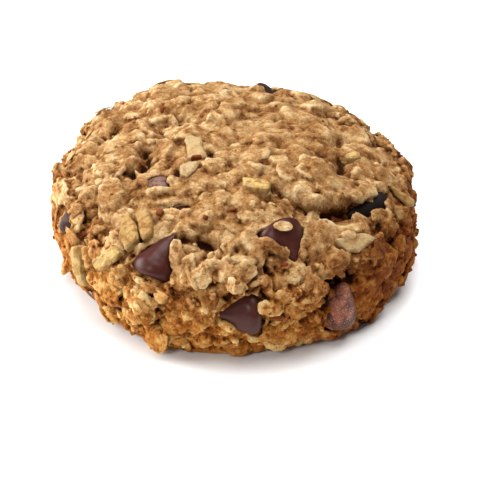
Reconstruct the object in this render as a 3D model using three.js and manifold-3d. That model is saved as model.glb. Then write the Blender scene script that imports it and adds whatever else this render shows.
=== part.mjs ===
// Thick oat cookie with chocolate chips and walnut pieces, baked on a flat tray.
// The dough is one craggy solid with oat flakes fused to it. Each chocolate chip and each large piece
// of walnut is a solid of its own, set in a pocket of the dough.
// Millimetres, +Z up. The origin is the middle of the flat underside, and the front faces -Y.
import * as THREE from 'three';
import { mergeVertices } from 'three/addons/utils/BufferGeometryUtils.js';
import Module from 'manifold-3d';

const wasm = await Module();
wasm.setup();

// Overall form: a round puck, slightly oval, widest at its belly and drawn in to a flat underside
const DIAMETER = 77;
const HEIGHT = 29;
const BASE_DIAMETER = 66;
const BELLY_HEIGHT = 14;
const SHOULDER_POWER = 2.6; // of the superellipse from belly to top, where 2 would be an ellipse
const UNDERCUT_POWER = 2.2; // of the superellipse from underside to belly
const OVALNESS = 0.02;
const LONG_AXIS_ANGLE = THREE.MathUtils.degToRad(135);

// Relief of the crust: the size of each kind of unevenness and how far it stands out or in
const SWELL = { size: 19, height: 1.0, seed: 11 };
const LUMP = { size: 8.5, height: 2.4, seed: 23 };
const LUMP_MIDDLE = 0.7; // of the lumps, which lie between 0 and 1
const CRUMB = { size: 3.6, height: 0.9, seed: 37 };
const CALM_MARGIN = 4; // the crust is calmer this close to a chip or a walnut piece
const CALM_SHARE = 0.3; // of the relief that is left there
const RISE_OF_RELIEF = 5; // height above the tray at which the relief is at its full strength
const BODY_DETAIL = 14; // splits of each icosahedron edge, which set the size of the facets
const UNDERSIDE_WEIGHT = 0.1; // share of the facets that the flat underside gets for its area
const SECTION_STEPS = 60;
const NORMAL_STEPS = 200; // places along the section that are tried for a piece's outward direction

// Cracks in the top, as lines in plan
const CRACK_FADE = [17, 21]; // heights between which the cracks fade out, downwards
const CRACKS = [
  { line: [[9, -17], [14, -21], [20, -21.5], [27, -17]], width: 3.2, depth: 3.2 },
  { line: [[-17, 0], [-18, -6], [-22, -9.5]], width: 2.6, depth: 2.4 },
  { line: [[-29, 5], [-25, 13]], width: 2.4, depth: 2.0 },
  { line: [[-15, 11], [-12, 6], [-10, 11]], width: 2.6, depth: 2.2 },
  { line: [[-1, 20], [5, 28]], width: 2.4, depth: 2.0 },
  { line: [[20, 17], [26, 14]], width: 2.2, depth: 1.8 },
  { line: [[23, 6], [22.5, -7]], width: 2.0, depth: 1.6 },
  { line: [[-10, -29], [-3.5, -32]], width: 2.4, depth: 2.2 },
  { line: [[-19, -17.5], [-10, -21]], width: 2.0, depth: 1.6 },
];

// Open hollows in the front wall, beside the chips
const HOLLOWS = [
  { at: [22.9, -32.5, 17.2], radius: 4.4 },
  { at: [6.4, -37.6, 22.2], radius: 2.4 },
  { at: [-4.2, -37.0, 21.5], radius: 2.2 },
];

// Oat flakes fused to the dough, spread by the golden angle
const FLAKE_COUNT = 42;
const FLAKE_LENGTH = 7.5;
const FLAKE_WIDTH = 5;
const FLAKE_THICKNESS = 1.5;
const FLAKE_SIDES = 6;
const FLAKE_FACES = [0.36, 0.5]; // radii of the upper and the lower face, as shares of length and width
const FLAKE_SIZE_SPREAD = 0.3;
const FLAKE_TILT = THREE.MathUtils.degToRad(13);
const FLAKE_LIFT = 0.15; // height of a flake's middle above the crust
const FLAKE_BAND = [0.2, 0.99]; // share of the surface, from the underside to the top, that has flakes
const FLAKE_CLEARANCE = 4.5; // from a flake's middle to a chip or a walnut piece
const FLAKE_SEED = 9;

// Chocolate chips: where the middle of the base and the tip are, and the width of the base.
// The profile gives half widths and heights, as shares of the chip's own. One chip is blunter.
const CHIP_SIDES = 10;
const CHIP_STEPS = 7;
const CHIP_PROFILE = [[0, 0], [0.84, 0], [1, 0.13], [0.88, 0.36], [0.54, 0.6], [0.24, 0.85], [0, 1]];
const BLUNT_PROFILE = [[0, 0], [0.86, 0], [1, 0.15], [0.93, 0.36], [0.76, 0.6], [0.46, 0.84], [0, 1]];
const CHIP_CURL = 0.16; // how far the tip leans over, as a share of the chip's height
const CHIP_MIDDLE = 0.4; // share of the way from base to tip
const CHIPS = {
  chip_front_left: { base: [-15.5, -30.9, 17.0], tip: [-12.2, -26.8, 25.2], width: 10.2 },
  chip_front: { base: [5.2, -35.2, 11.9], tip: [-3.3, -37.7, 11.8], width: 10.6 },
  chip_rim: { base: [8.8, -25.0, 23.6], tip: [13.4, -32.2, 20.6], width: 11.4 },
  chip_shaded: { base: [29.9, -9.8, 19.8], tip: [24.7, -17.2, 21.2], width: 9.6 },
  chip_rear: { base: [4.6, 28.4, 22.4], tip: [13.2, 27.4, 22.0], width: 9.6 },
  chip_left: { base: [-31.1, -14.1, 16.4], tip: [-31.2, -6.4, 20.4], width: 9.2 },
  chip_top: { base: [-13.0, -12.4, 24.2], tip: [-21.2, -12.9, 25.2], width: 8.4 },
  chip_buried: { base: [-9.2, -20.0, 21.2], tip: [-15.6, -20.6, 24.6], width: 9.4 },
  chip_bloomed: { base: [21.7, -28.8, 4.1], tip: [21.3, -29.2, 14.3], width: 8.2, profile: BLUNT_PROFILE },
  chip_low: { base: [-19.2, -24.1, 7.9], tip: [-24.2, -30.1, 8.6], width: 8.6 },
  chip_back_1: { base: [-32.0, 15.4, 9.0], tip: [-31.0, 19.6, 15.8], width: 9.8 },
  chip_back_2: { base: [-9.9, 33.6, 10.2], tip: [-18.0, 31.9, 12.4], width: 10.0 },
  chip_back_3: { base: [17.3, 30.8, 10.6], tip: [19.6, 30.2, 18.8], width: 9.6 },
  chip_back_4: { base: [33.8, 9.3, 8.8], tip: [32.8, 17.0, 12.8], width: 10.0 },
};

// Walnut pieces: broken slabs in the crust. Each has the middle of its upper face, its thickness and the corners
// of that face as they show from the front, or from the back, to one who looks down at the tray by SIGHT.
// A proud piece faces that way and stands out of the crust, and the others lie along it.
const SIGHT = THREE.MathUtils.degToRad(34);
const WALNUT_CHAMFER = 0.35;
const WALNUT_SINK = 0.4; // how far the slabs that lie along the crust are pressed into it
const QUAD = [[1.1, 2.8], [2.8, 1.1], [1.5, -0.6], [-0.4, -2.3], [-1.9, -2.5], [-3.0, -0.6], [-1.1, 0.8]];
const LEAF = [[-1.7, 3.2], [0, 3.4], [1.5, 1.1], [2.1, -1.5], [1.1, -2.5], [-0.4, -3.6], [-1.9, -1.5], [-1.5, 0.8]];
const WEDGE = [[-1.9, 1.9], [0.2, 3.0], [1.6, 1.1], [1.4, -2.1], [-0.3, -3.2], [-0.9, -1.3]];
const SLIVER = [[-0.8, 2.8], [0.4, 3.0], [1.3, 0.2], [1.1, -2.3], [1.9, -5.1], [0.4, -4.2], [-0.6, -1.5], [-1.1, 1.1]];
const BLOCK = [[-2.5, 1.3], [2.1, 1.1], [3.2, 0], [2.5, -1.1], [0.2, -0.8], [-2.3, -0.2]];
const TOOTH = [[-1.9, 2.5], [1.3, 1.9], [1.3, 0.2], [2.5, -2.3], [0.4, -2.6], [-1.7, -2.5], [-1.7, 0], [-2.3, 1.3]];
const END = [[-1.7, 0.8], [0, 1.5], [2.1, 1.3], [1.5, -0.2], [-0.2, -1.7], [-1.5, -1.3]];
const BOAT = [[-4.2, 0.6], [-2.3, 1.5], [1.3, 1.9], [4.2, 0.8], [1.9, -0.8], [0.4, -1.9], [-1.9, -1.7], [-3.4, -0.6]];
const TWIG = [[-3.0, 2.1], [-2.1, 2.3], [0, 0.4], [2.8, -1.1], [2.5, -2.3], [1.1, -2.3], [-0.8, -0.6], [-2.5, 1.1]];
const SHARD = [[-1.9, 0], [-1.1, 0.7], [1.7, 1.0], [1.9, -0.4], [-0.8, -0.6]];
const STUB = [[-0.8, 1.3], [0.6, 1.2], [1.1, 0.2], [0.6, -1.3], [-0.2, -1.7], [-1.1, -0.2]];
const WALNUTS = {
  walnut_1: { at: [-25.3, -28.6, 19.7], corners: QUAD, thickness: 2.6 },
  walnut_2: { at: [-20.7, -25.8, 24.8], corners: LEAF, thickness: 2.4 },
  walnut_3: { at: [-17.4, -24.9, 26.1], corners: WEDGE, thickness: 2.4 },
  walnut_4: { at: [-32.4, -21.7, 13.8], corners: SLIVER, thickness: 2.6 },
  walnut_5: { at: [4.9, -16.3, 30.1], corners: BLOCK, thickness: 3.6 },
  walnut_6: { at: [-7.4, -1.5, 30.0], corners: TOOTH, thickness: 2.6 },
  walnut_7: { at: [-8.7, -9.8, 29.8], corners: END, thickness: 2.6 },
  walnut_8: { at: [25.7, -26.1, 22.1], corners: BOAT, thickness: 2.0 },
  walnut_9: { at: [35.2, -9.1, 22.2], corners: TWIG, thickness: 1.3, proud: true },
  walnut_10: { at: [25.2, -1.9, 27.9], corners: SHARD, thickness: 2.4 },
  walnut_11: { at: [-27.2, 29.6, 13.6], corners: QUAD, thickness: 3.2, back: true },
  walnut_12: { at: [3.6, 39.3, 14.9], corners: TOOTH, thickness: 3.2, back: true },
  walnut_13: { at: [30.9, 24.1, 12.5], corners: BOAT, thickness: 2.8, back: true },
  walnut_14: { at: [34.3, -14.3, 21.4], corners: STUB, thickness: 1.2, proud: true },
};
const POCKET_GAP = 0.3; // between a piece and the dough around it

const doughFinish = new THREE.MeshStandardMaterial({ color: 0xb98a52, roughness: 0.9, metalness: 0 });
const chipFinish = new THREE.MeshStandardMaterial({ color: 0x3d2226, roughness: 0.42, metalness: 0 });
const walnutFinish = new THREE.MeshStandardMaterial({ color: 0xdcc487, roughness: 0.75, metalness: 0 });

// Random numbers from 0 to 1 that are the same on every run.
function seededRandom(seed) {
  let state = seed;
  return () => {
    state = (state + 0x6d2b79f5) | 0;
    let mixed = Math.imul(state ^ (state >>> 15), 1 | state);
    mixed = (mixed + Math.imul(mixed ^ (mixed >>> 7), 61 | mixed)) ^ mixed;
    return ((mixed ^ (mixed >>> 14)) >>> 0) / 2 ** 32;
  };
}

// A number from 0 to 1 for each cell of a grid.
function cellValue(x, y, z, seed) {
  let mixed = Math.imul(x, 374761393) ^ Math.imul(y, 668265263) ^ Math.imul(z, 2147483629);
  mixed = Math.imul(mixed ^ (seed * 2654435761), 1274126177);
  mixed = Math.imul(mixed ^ (mixed >>> 13), 1274126177);
  return ((mixed ^ (mixed >>> 16)) >>> 0) / 2 ** 32;
}

const eased = (t) => t * t * (3 - 2 * t);

// Smooth noise from -1 to 1, with features about as large as the given size.
function noise(point, { size, seed }) {
  const scaled = point.clone().divideScalar(size);
  const cell = scaled.clone().floor();
  const [u, v, w] = scaled.sub(cell).toArray().map(eased);
  let sum = 0;
  for (const i of [0, 1]) {
    for (const j of [0, 1]) {
      for (const k of [0, 1]) {
        const weight = (i ? u : 1 - u) * (j ? v : 1 - v) * (k ? w : 1 - w);
        sum += weight * cellValue(cell.x + i, cell.y + j, cell.z + k, seed);
      }
    }
  }
  return 2 * sum - 1;
}

// Rounded lumps with creases between them: 1 on a lump's crown and 0 in the crease beside it.
function lumps(point, { size, seed }) {
  const scaled = point.clone().divideScalar(size);
  const cell = scaled.clone().floor();
  let nearest = Infinity;
  let second = Infinity;
  for (const i of [-1, 0, 1]) {
    for (const j of [-1, 0, 1]) {
      for (const k of [-1, 0, 1]) {
        const [x, y, z] = [cell.x + i, cell.y + j, cell.z + k];
        const offsets = [0, 1, 2].map((axis) => cellValue(x, y, z, seed + axis));
        const crown = new THREE.Vector3(x + offsets[0], y + offsets[1], z + offsets[2]);
        const distance = crown.distanceTo(scaled);
        second = Math.min(second, Math.max(distance, nearest));
        nearest = Math.min(nearest, distance);
      }
    }
  }
  return Math.sqrt(Math.min(1, 2 * (second - nearest)));
}

// The half section from the middle of the underside, round the belly, to the middle of the top.
function sectionPoints(steps) {
  const points = [new THREE.Vector2(0, 0)];
  const baseRadius = BASE_DIAMETER / 2;
  const bulge = DIAMETER / 2 - baseRadius;
  for (let i = 0; i <= steps; i++) {
    const turn = (i / steps) * (Math.PI / 2);
    const out = bulge * Math.sin(turn) ** (2 / UNDERCUT_POWER);
    const up = BELLY_HEIGHT * (1 - Math.cos(turn) ** (2 / UNDERCUT_POWER));
    points.push(new THREE.Vector2(baseRadius + out, up));
  }
  for (let i = 1; i <= steps; i++) {
    const turn = (i / steps) * (Math.PI / 2);
    const out = (DIAMETER / 2) * Math.max(0, Math.cos(turn)) ** (2 / SHOULDER_POWER);
    const up = (HEIGHT - BELLY_HEIGHT) * Math.sin(turn) ** (2 / SHOULDER_POWER);
    points.push(new THREE.Vector2(out, BELLY_HEIGHT + up));
  }
  return points;
}

// Running total of the surface swept by the section, scaled to end at 1.
function sweptShares(points) {
  const shares = [0];
  for (let i = 1; i < points.length; i++) {
    const weight = points[i].y === 0 ? UNDERSIDE_WEIGHT : 1;
    const band = points[i].distanceTo(points[i - 1]) * (points[i].x + points[i - 1].x);
    shares.push(shares[i - 1] + weight * band);
  }
  return shares.map((share) => share / shares.at(-1));
}

const section = sectionPoints(SECTION_STEPS);
const shares = sweptShares(section);

// The smooth form's point and outward normal, at a share of the surface and an angle about Z.
function smoothForm(share, angle) {
  const i = Math.max(1, shares.findIndex((s) => s >= share));
  const [low, high] = [section[i - 1], section[i]];
  const along = (share - shares[i - 1]) / (shares[i] - shares[i - 1]);
  const { x: radius, y: height } = low.clone().lerp(high, along);
  const oval = 1 + OVALNESS * Math.cos(2 * (angle - LONG_AXIS_ANGLE));
  const ray = new THREE.Vector3(Math.cos(angle), Math.sin(angle), 0);
  const slope = high.clone().sub(low).normalize();
  return {
    point: ray.clone().multiplyScalar(radius * oval).setZ(height),
    normal: ray.multiplyScalar(slope.y).setZ(-slope.x),
  };
}

// The outward normal of the smooth form near a point, from the share whose point is nearest.
function outwardNear(point) {
  const angle = Math.atan2(point.y, point.x);
  let best = null;
  for (let step = 1; step < NORMAL_STEPS; step++) {
    const here = smoothForm(step / NORMAL_STEPS, angle);
    const distance = here.point.distanceTo(point);
    if (!best || distance < best.distance) best = { distance, normal: here.normal };
  }
  return best.normal;
}

// Centre and reach of every chip and walnut piece, which the crust and the flakes keep clear of.
const insets = [
  ...Object.values(CHIPS).map(({ base, tip, width }) => {
    const [from, to] = [new THREE.Vector3(...base), new THREE.Vector3(...tip)];
    return { centre: from.clone().lerp(to, CHIP_MIDDLE), reach: Math.max(width, from.distanceTo(to)) / 2 };
  }),
  ...Object.values(WALNUTS).map(({ at, corners }) => {
    return { centre: new THREE.Vector3(...at), reach: Math.max(...corners.map(([x, y]) => Math.hypot(x, y))) };
  }),
];

const clearOfInsets = (point) =>
  Math.min(...insets.map(({ centre, reach }) => centre.distanceTo(point) - reach));

// Depth of the cracks at a point of the top.
function crackDepth(point) {
  const plan = new THREE.Vector3(point.x, point.y, 0);
  const nearest = new THREE.Vector3();
  let depth = 0;
  for (const crack of CRACKS) {
    const corners = crack.line.map(([x, y]) => new THREE.Vector3(x, y, 0));
    for (let i = 1; i < corners.length; i++) {
      new THREE.Line3(corners[i - 1], corners[i]).closestPointToPoint(plan, true, nearest);
      const across = nearest.distanceTo(plan) / crack.width;
      depth = Math.max(depth, crack.depth * Math.max(0, 1 - across * across));
    }
  }
  return depth * THREE.MathUtils.smoothstep(point.z, ...CRACK_FADE);
}

// How far the crust stands out of the smooth form.
function crust(point) {
  const swell = SWELL.height * noise(point, SWELL);
  const lump = LUMP.height * (lumps(point, LUMP) - LUMP_MIDDLE);
  const crumb = CRUMB.height * noise(point, CRUMB);
  const calm = THREE.MathUtils.smoothstep(clearOfInsets(point), 0, CALM_MARGIN);
  const strength = THREE.MathUtils.lerp(CALM_SHARE, 1, calm);
  const rise = THREE.MathUtils.smoothstep(point.z, 0, RISE_OF_RELIEF);
  return rise * (strength * (swell + lump + crumb) - crackDepth(point));
}

// The crust's point and outward normal at a share of the surface and an angle.
function crustForm(share, angle) {
  const { point, normal } = smoothForm(share, angle);
  point.addScaledVector(normal, crust(point));
  point.z = Math.max(0, point.z);
  return { point, normal };
}

// A closed geometry as a solid that can be joined and cut.
function solidFrom(geometry) {
  const bare = geometry.clone();
  bare.deleteAttribute('normal');
  bare.deleteAttribute('uv');
  const merged = mergeVertices(bare);
  const mesh = new wasm.Mesh({
    numProp: 3,
    vertProperties: merged.getAttribute('position').array,
    triVerts: new Uint32Array(merged.index.array),
  });
  return new wasm.Manifold(mesh);
}

// A solid's outer skin as a geometry, without sealed hollows or loose scraps.
function geometryFrom(solid) {
  const [outer] = solid.decompose().sort((a, b) => b.volume() - a.volume());
  const { vertProperties, triVerts } = outer.getMesh();
  const geometry = new THREE.BufferGeometry();
  geometry.setAttribute('position', new THREE.BufferAttribute(vertProperties, 3));
  geometry.setIndex(new THREE.BufferAttribute(triVerts, 1));
  geometry.computeVertexNormals();
  return geometry;
}

// The dough's craggy body: the facets of an icosahedron, spread over the form and moved to the crust.
function doughBody() {
  const body = mergeVertices(barePositions(new THREE.IcosahedronGeometry(1, BODY_DETAIL)));
  const position = body.getAttribute('position');
  const ray = new THREE.Vector3();
  for (let i = 0; i < position.count; i++) {
    ray.fromBufferAttribute(position, i).normalize();
    const { point } = crustForm((1 + ray.z) / 2, Math.atan2(ray.y, ray.x));
    position.setXYZ(i, point.x, point.y, point.z);
  }
  return body;
}

function barePositions(geometry) {
  geometry.deleteAttribute('normal');
  geometry.deleteAttribute('uv');
  return geometry;
}

// One oat flake, a thin oval with a narrower upper face, lying in the crust.
function oatFlake(share, angle, random) {
  const size = 1 + FLAKE_SIZE_SPREAD * (2 * random() - 1);
  const flake = new THREE.CylinderGeometry(...FLAKE_FACES, FLAKE_THICKNESS, FLAKE_SIDES);
  flake.scale(size * FLAKE_LENGTH, 1, size * FLAKE_WIDTH);
  flake.rotateY(random() * Math.PI);
  flake.rotateX((2 * random() - 1) * FLAKE_TILT);
  const { point, normal } = crustForm(share, angle);
  point.addScaledVector(normal, FLAKE_LIFT);
  const upright = new THREE.Quaternion().setFromUnitVectors(THREE.Object3D.DEFAULT_UP, normal);
  const placed = new THREE.Matrix4().compose(point, upright, new THREE.Vector3(1, 1, 1));
  return clearOfInsets(point) > FLAKE_CLEARANCE - FLAKE_LENGTH / 2 ? flake.applyMatrix4(placed) : null;
}

// Every oat flake, spread evenly from the lower wall to the top.
function oatFlakes() {
  const random = seededRandom(FLAKE_SEED);
  const goldenAngle = Math.PI * (3 - Math.sqrt(5));
  const flakes = [];
  for (let i = 0; i < FLAKE_COUNT; i++) {
    const share = THREE.MathUtils.lerp(...FLAKE_BAND, (i + random()) / FLAKE_COUNT);
    const flake = oatFlake(share, THREE.MathUtils.euclideanModulo(i * goldenAngle, 2 * Math.PI), random);
    if (flake) flakes.push(flake);
  }
  return flakes;
}

// A chocolate chip: a drop with a flat base and a tip that leans over. It stands on its base along +Y.
function chocolateChip(height, width, profile) {
  const drop = new THREE.SplineCurve(
    profile.map(([out, up]) => new THREE.Vector2((out * width) / 2, up * height)),
  );
  const outline = drop.getPoints(CHIP_STEPS);
  outline[0].x = 0;
  outline[CHIP_STEPS].x = 0;
  const chip = new THREE.LatheGeometry(outline, CHIP_SIDES);
  const position = chip.getAttribute('position');
  for (let i = 0; i < position.count; i++) {
    const rise = position.getY(i) / height;
    position.setX(i, position.getX(i) + CHIP_CURL * height * rise ** 3);
  }
  return mergeVertices(barePositions(chip));
}

function chipMesh(name, { base, tip, width, profile = CHIP_PROFILE }) {
  const [from, to] = [new THREE.Vector3(...base), new THREE.Vector3(...tip)];
  const chip = new THREE.Mesh(chocolateChip(from.distanceTo(to), width, profile), chipFinish);
  chip.name = name;
  chip.position.copy(from);
  chip.quaternion.setFromUnitVectors(THREE.Object3D.DEFAULT_UP, to.sub(from).normalize());
  return chip;
}

// Directions to the right, up and towards the eye, for one who looks at the front or at the back.
function sightAxes(back) {
  const side = back ? -1 : 1;
  const right = new THREE.Vector3(side, 0, 0);
  const near = new THREE.Vector3(0, -side * Math.cos(SIGHT), Math.sin(SIGHT));
  return { right, up: near.clone().cross(right), near };
}

// A broken slab of walnut, with the middle of its upper face at the origin.
function walnutPiece({ at, corners, thickness, back, proud }) {
  const { right, up, near } = sightAxes(back);
  const facing = proud ? near : outwardNear(new THREE.Vector3(...at));
  const alongFace = (axis) => axis.clone().addScaledVector(near, -axis.dot(facing) / near.dot(facing));
  const outline = new THREE.Shape(corners.map(([x, y]) => new THREE.Vector2(x, y)));
  const slab = new THREE.ExtrudeGeometry(outline, {
    depth: thickness - 2 * WALNUT_CHAMFER,
    bevelThickness: WALNUT_CHAMFER,
    bevelSize: WALNUT_CHAMFER,
    bevelOffset: -WALNUT_CHAMFER,
    bevelSegments: 1,
  });
  slab.clearGroups();
  slab.translate(0, 0, WALNUT_CHAMFER - thickness);
  slab.applyMatrix4(new THREE.Matrix4().makeBasis(alongFace(right), alongFace(up), facing));
  return mergeVertices(barePositions(slab));
}

function walnutMesh(name, walnut) {
  const piece = new THREE.Mesh(walnutPiece(walnut), walnutFinish);
  piece.name = name;
  piece.position.set(...walnut.at);
  if (!walnut.proud) piece.position.addScaledVector(outwardNear(piece.position), -WALNUT_SINK);
  return piece;
}

// The room that a chip or a walnut piece takes in the dough, with a gap all round.
function pocketFor(mesh) {
  const pocket = mesh.geometry.clone();
  pocket.computeBoundingBox();
  const middle = pocket.boundingBox.getCenter(new THREE.Vector3());
  const size = pocket.boundingBox.getSize(new THREE.Vector3());
  const grown = size.clone().addScalar(2 * POCKET_GAP).divide(size);
  pocket.translate(-middle.x, -middle.y, -middle.z);
  pocket.scale(grown.x, grown.y, grown.z);
  pocket.translate(middle.x, middle.y, middle.z);
  mesh.updateMatrix();
  return pocket.applyMatrix4(mesh.matrix);
}

function hollow({ at, radius }) {
  return new THREE.IcosahedronGeometry(radius, 1).translate(...at);
}

// The dough: its body with the flakes fused on, less the hollows and the pockets of the other pieces.
function doughMesh(pieces) {
  let dough = solidFrom(doughBody());
  for (const flake of oatFlakes()) dough = dough.add(solidFrom(flake));
  for (const space of HOLLOWS.map(hollow)) dough = dough.subtract(solidFrom(space));
  for (const piece of pieces) dough = dough.subtract(solidFrom(pocketFor(piece)));
  const mesh = new THREE.Mesh(geometryFrom(dough), doughFinish);
  mesh.name = 'dough';
  return mesh;
}

// Moves the whole cookie so that the origin is under the middle of its box.
function centred(group) {
  const box = new THREE.Box3().setFromObject(group, true);
  const middle = box.getCenter(new THREE.Vector3());
  group.position.set(-middle.x, -middle.y, -box.min.z);
  return group;
}

const chips = Object.entries(CHIPS).map(([name, chip]) => chipMesh(name, chip));
const walnuts = Object.entries(WALNUTS).map(([name, walnut]) => walnutMesh(name, walnut));
const cookie = new THREE.Group();
cookie.add(doughMesh([...chips, ...walnuts]), ...chips, ...walnuts);

export default centred(cookie);
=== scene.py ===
"""The looks of a thick oat cookie with chocolate chips and walnut pieces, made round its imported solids."""
import math
from collections import namedtuple

import bpy
import numpy as np
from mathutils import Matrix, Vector, kdtree, noise
from mathutils.bvhtree import BVHTree


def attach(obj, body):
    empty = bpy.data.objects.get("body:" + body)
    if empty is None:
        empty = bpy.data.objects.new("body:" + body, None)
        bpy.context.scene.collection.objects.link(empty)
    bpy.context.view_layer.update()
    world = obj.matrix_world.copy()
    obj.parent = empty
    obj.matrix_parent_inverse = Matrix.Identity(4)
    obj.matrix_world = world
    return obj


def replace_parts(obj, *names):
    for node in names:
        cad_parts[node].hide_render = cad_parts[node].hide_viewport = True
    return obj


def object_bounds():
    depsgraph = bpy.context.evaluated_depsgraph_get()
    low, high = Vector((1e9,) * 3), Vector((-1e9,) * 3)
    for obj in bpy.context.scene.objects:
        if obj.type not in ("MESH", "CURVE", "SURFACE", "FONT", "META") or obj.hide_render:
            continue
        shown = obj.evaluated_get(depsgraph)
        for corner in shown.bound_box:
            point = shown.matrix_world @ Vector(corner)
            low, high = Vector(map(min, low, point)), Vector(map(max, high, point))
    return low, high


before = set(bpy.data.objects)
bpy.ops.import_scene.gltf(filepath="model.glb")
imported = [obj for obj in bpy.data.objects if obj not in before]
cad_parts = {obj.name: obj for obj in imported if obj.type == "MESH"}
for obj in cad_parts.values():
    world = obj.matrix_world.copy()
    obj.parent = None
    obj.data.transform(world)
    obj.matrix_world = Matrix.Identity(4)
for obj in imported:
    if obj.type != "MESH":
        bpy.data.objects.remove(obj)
cad_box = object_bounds()

MM = 0.001

# The cookie's smooth form, which says which way is out of the crust
WIDTH = (cad_box[1].x - cad_box[0].x) / MM
HEIGHT = (cad_box[1].z - cad_box[0].z) / MM
BELLY_HEIGHT = 14
SHOULDER_POWER = 2.6
UNDERCUT = 0.25  # how far the wall below the belly leans in
# Upward share of the outward direction at the end of the wall and at the start of the top
TOP_TURN = (0.55, 0.85)

# The photograph's view, in millimetres where nothing else is said
PHOTO_SIDE = 480  # pixels
FOCAL_PIXELS = 2217
SENSOR_WIDTH = 36
VIEW_ELEVATION = math.radians(34)
VIEW_DISTANCE = 470
VIEW_AIM = (1.0, -2.7, 7.1)
VIEW_CLIP = (0.01, 10)  # metres

# The studio: place and width in metres and power in watts of its soft lights, and the light all round
Light = namedtuple("Light", "place side power")
LIGHTS = {
    "key_light": Light((0.06, 0.11, 0.64), 0.65, 8.6),
    "side_light": Light((-0.5, 0.1, 0.15), 0.45, 5.7),
    "fill_light": Light((-0.3, -0.48, 0.4), 0.16, 1.55),
}
WORLD_STRENGTH = 0.13
FLOOR_SIDE = 4  # metres

# Grains that are baked into the crust: oat flakes, rounded lumps of dough and crumbs
Grain = namedtuple("Grain", "count half spread uneven tilt lift share overlap")
# half is the three half sizes. tilt in degrees, lift of the middle above the crust, and share of the
# places that get a grain are pairs, for the top and for the wall. overlap is how much of its half width
# a grain may reach over a chip.
GRAINS = {
    "flake": Grain(1500, (2.5, 1.8, 0.5), 0.35, 0.22, (14, 30), (-0.38, -0.1), (0.6, 1.0), 0.3),
    "lump": Grain(350, (1.7, 1.3, 1.0), 0.35, 0.25, (20, 60), (-0.8, -0.5), (0.1, 1.0), 0.25),
    "crumb": Grain(3000, (0.7, 0.6, 0.5), 0.35, 0.3, (60, 60), (-0.3, -0.2), (0.2, 1.0), 0.3),
}
GRAIN_TINTS = {"flake": (0.35, 0.88), "lump": (0.0, 0.75), "crumb": (0.1, 0.9)}  # from brown to pale
LIFT_SPREAD = 0.45  # by which the lift varies on the wall
CRUST_TINT = 0.5  # of the crust between the grains
GRAIN_REACH = (0.3, 0.9)  # distances from a grain between which its tint ends
LUMP_SPLITS = 2  # of the balls that lumps and crumbs are made of
CRUMB_SPLITS = 1
FLAKE_FULLNESS = 0.4  # power that gives a flake its full cheeks
FLAKE_CURL = 0.08  # greatest curl of a flake along its length
FLAKE_CREASE = 0.25  # and greatest slope from the ridge along it
GRAIN_SEED = 41
UNDERSIDE_MARGIN = 1.0  # no grain starts lower than this
LOWEST = 0.05  # and none reaches lower than this
SINK = (0.1, 0.5)  # how far the crust between the grains lies back, on the top and on the wall
# Places where the crust lies further in than the solid, or further out where depth is negative
Dent = namedtuple("Dent", "middle radius depth")
DENTS = [
    Dent((-32, -17, 3), 15, 2.3), Dent((-17, 28, 25), 10, -1.2), Dent((-31, 17, 22), 7, 1.9),
    Dent((9.5, 31, 25), 6, -1.0), Dent((-20, -30, 3), 7, -0.8), Dent((-9, -36, 2), 9, -0.5),
    Dent((9, -36, 2), 8, 0.6),
]
MERGE_DISTANCE = 0.001  # between points of a solid that are one
BASE_VOXEL = 0.5  # cell that the dough is rebuilt with before its grains grow
VOXEL = 0.36  # and with them
SMOOTHING = 1  # how often it is smoothed then
DOUGH_TRIANGLES = 190000  # how many triangles are kept of it
NEAR_SMOOTHING = 6  # how often a copy is smoothed that says how far small grains stand out
BROAD_SMOOTHING = 40  # and one for whole plates
HOLLOW_CLEAR = 0.6  # no grain reaches where a hollow is deeper than this
BED_SIZE = 1.15  # of the dough in the pocket under a walnut piece, as a share of the piece
BED_DEPTH = 1.4  # how much deeper that lies than the piece
WALNUT_OVERLAP = 0.6  # how much of its half width a grain may reach over a walnut piece
FOOTPRINT = 0.8  # share of a grain that is looked at for that

# Plates of the top crust that the photograph shows: the pixel of each one's middle and its half width
PLATES = [
    (114, 113, 9), (129, 112, 12), (152, 108, 11), (175, 101, 11), (195, 112, 10), (213, 118, 13),
    (232, 112, 11), (89, 145, 10), (124, 135, 13), (155, 132, 12), (161, 149, 13), (120, 155, 15),
    (104, 168, 12), (158, 165, 10), (187, 168, 8), (208, 176, 16), (124, 180, 8), (170, 184, 13),
    (89, 178, 12), (112, 196, 15), (81, 204, 11), (213, 197, 12), (206, 212, 15), (232, 222, 13),
    (170, 215, 9), (242, 100, 10), (260, 118, 13), (303, 113, 19), (308, 133, 12), (330, 105, 9),
    (345, 118, 9), (356, 135, 11), (358, 149, 10), (312, 153, 18), (266, 152, 17), (240, 150, 11),
    (298, 173, 12), (361, 175, 13), (316, 196, 17), (344, 201, 9), (278, 186, 9), (245, 201, 11),
    (276, 209, 13), (381, 159, 10), (394, 170, 8), (373, 140, 9), (225, 135, 13), (196, 131, 12),
    (70, 190, 10), (285, 97, 9), (205, 95, 11), (140, 98, 10), (100, 127, 10), (76, 165, 9),
    (232, 175, 9), (262, 217, 8),
]
BACK_PLATES = 24
PLATE_HALF = 5.0  # half width of a plate at the back
PLATE_APART = 1.3  # half widths between such plates
CHUNK_COUNT = 320
CHUNK_HALF = 2.7  # half width of a chunk of the wall
CHUNK_APART = 1.4  # half widths between chunks
PLATE_SEED = 8
PIXEL_SIZE = 0.212  # millimetres
PLATE_WARP = (4.5, 1.3)  # size and reach of the bends in the cracks
PLATE_FRAY = (PLATE_WARP[0] / 3, 0.35 * PLATE_WARP[1])  # and of the finer bends
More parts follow.
